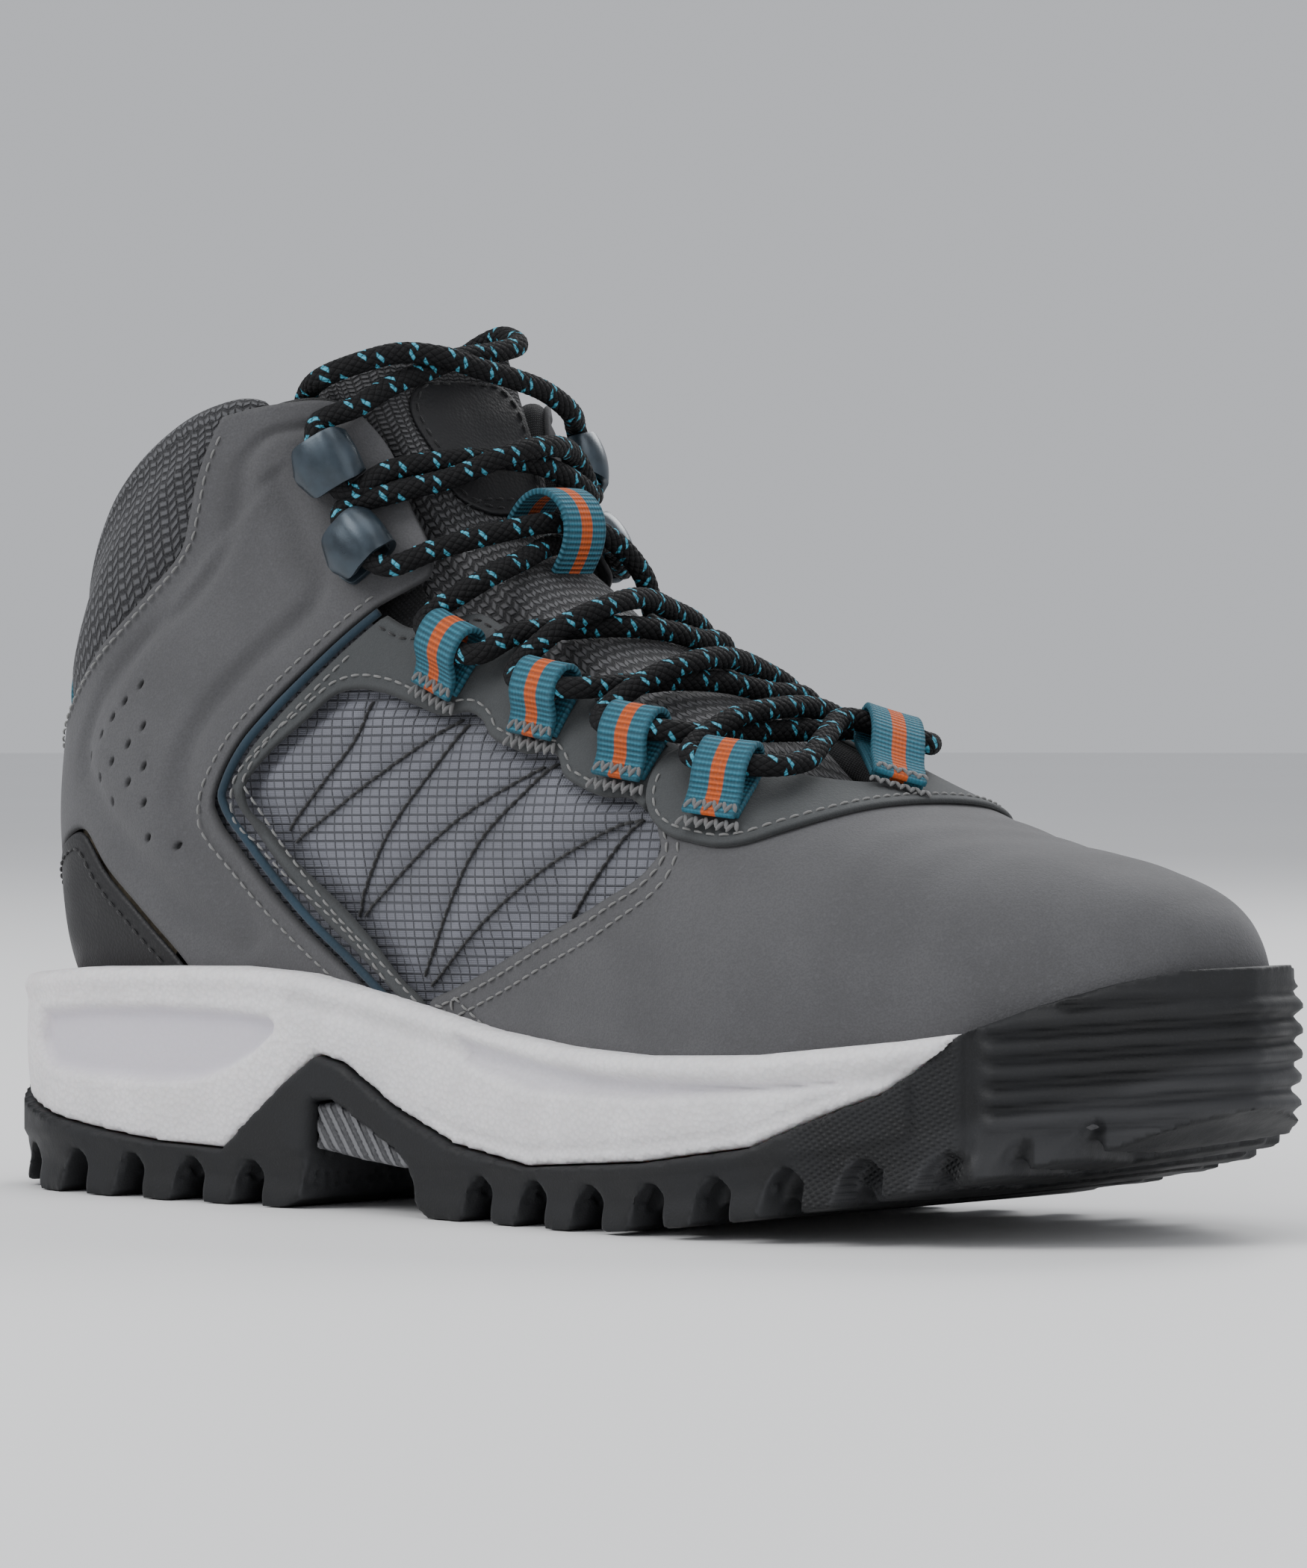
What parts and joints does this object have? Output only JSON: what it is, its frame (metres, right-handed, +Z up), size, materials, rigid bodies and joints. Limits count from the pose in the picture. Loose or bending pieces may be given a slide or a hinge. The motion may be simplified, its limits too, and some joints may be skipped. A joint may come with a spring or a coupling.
{
  "type": "hiking boot",
  "caption": "Mid-height hiking boot for the right foot, laced, with webbing lace loops, speed hooks, a ripstop side window, a padded collar and a lugged outsole.",
  "frame": {"origin": "centre of the boot's plan, on the ground", "axes": "+X towards the toe, +Y towards the inner (medial) side of the foot, +Z up"},
  "size_m": [0.305, 0.1106, 0.1782],
  "materials": {
    "nubuck": "matt grey nubuck",
    "eyestay": "matt dark grey synthetic suede",
    "ripstop": "woven grey ripstop",
    "knit": "grey knitted mesh",
    "overlay": "matt black thermoplastic film",
    "lining": "black textile",
    "foam": "soft open-cell foam",
    "board": "matt fibre board",
    "rubber": "matt black moulded rubber",
    "midsole": "matt off-white moulded foam",
    "shank": "matt dark grey moulded plastic",
    "webbing": "ribbed teal webbing with an orange stripe",
    "piping": "matt dark teal cord",
    "lace": "round braid, black with teal flecks",
    "hook": "satin dark blue-grey",
    "aglet": "smooth black plastic"
  },
  "bodies": {
    "boot": {"vamp": "nubuck", "quarter_lateral": "nubuck", "quarter_medial": "nubuck", "eyestay_lateral": "eyestay", "eyestay_medial": "eyestay", "throat_overlay": "eyestay", "side_mesh_lateral": "ripstop", "side_mesh_medial": "ripstop", "collar_mesh": "knit", "heel_overlay": "overlay", "bootie_lining": "lining", "collar_padding": "foam", "heel_counter": "board", "toe_puff": "board", "lasting_board": "board", "outsole": "rubber", "midsole": "midsole", "arch_shank": "shank", "heel_pull_loop": "webbing", "lace_loop_lateral_1": "webbing", "lace_loop_lateral_2": "webbing", "lace_loop_lateral_3": "webbing", "lace_loop_lateral_4": "webbing", "lace_loop_medial_1": "webbing", "lace_loop_medial_2": "webbing", "lace_loop_medial_3": "webbing", "lace_loop_medial_4": "webbing", "piping_lateral": "piping", "piping_medial": "piping", "lace": "lace", "hook_lateral_lower": "hook", "hook_lateral_upper": "hook", "hook_medial_lower": "hook", "hook_medial_upper": "hook", "hook_rivet_lateral_lower": "hook", "hook_rivet_lateral_upper": "hook", "hook_rivet_medial_lower": "hook", "hook_rivet_medial_upper": "hook", "aglet_lateral": "aglet", "aglet_medial": "aglet"},
    "tongue": {"tongue": "knit", "tongue_patch": "overlay", "tongue_lace_loop": "webbing"},
    "footbed": {"footbed": "lining"}
  },
  "joints": [
    {"name": "tongue_hinge", "type": "hinge", "parent": "boot", "child": "tongue", "pos_m": [0.0615, 0.00228, 0.076], "axis": [0, -1, 0], "range_deg": [0, 0.8], "stiffness_Nm_per_rad": 0.3, "springref_deg": -6.88},
    {"name": "footbed_lift", "type": "hinge", "parent": "boot", "child": "footbed", "pos_m": [0.1195, 0.00228, 0.031], "axis": [0, 1, 0], "range_deg": [0, 4]}
  ]
}
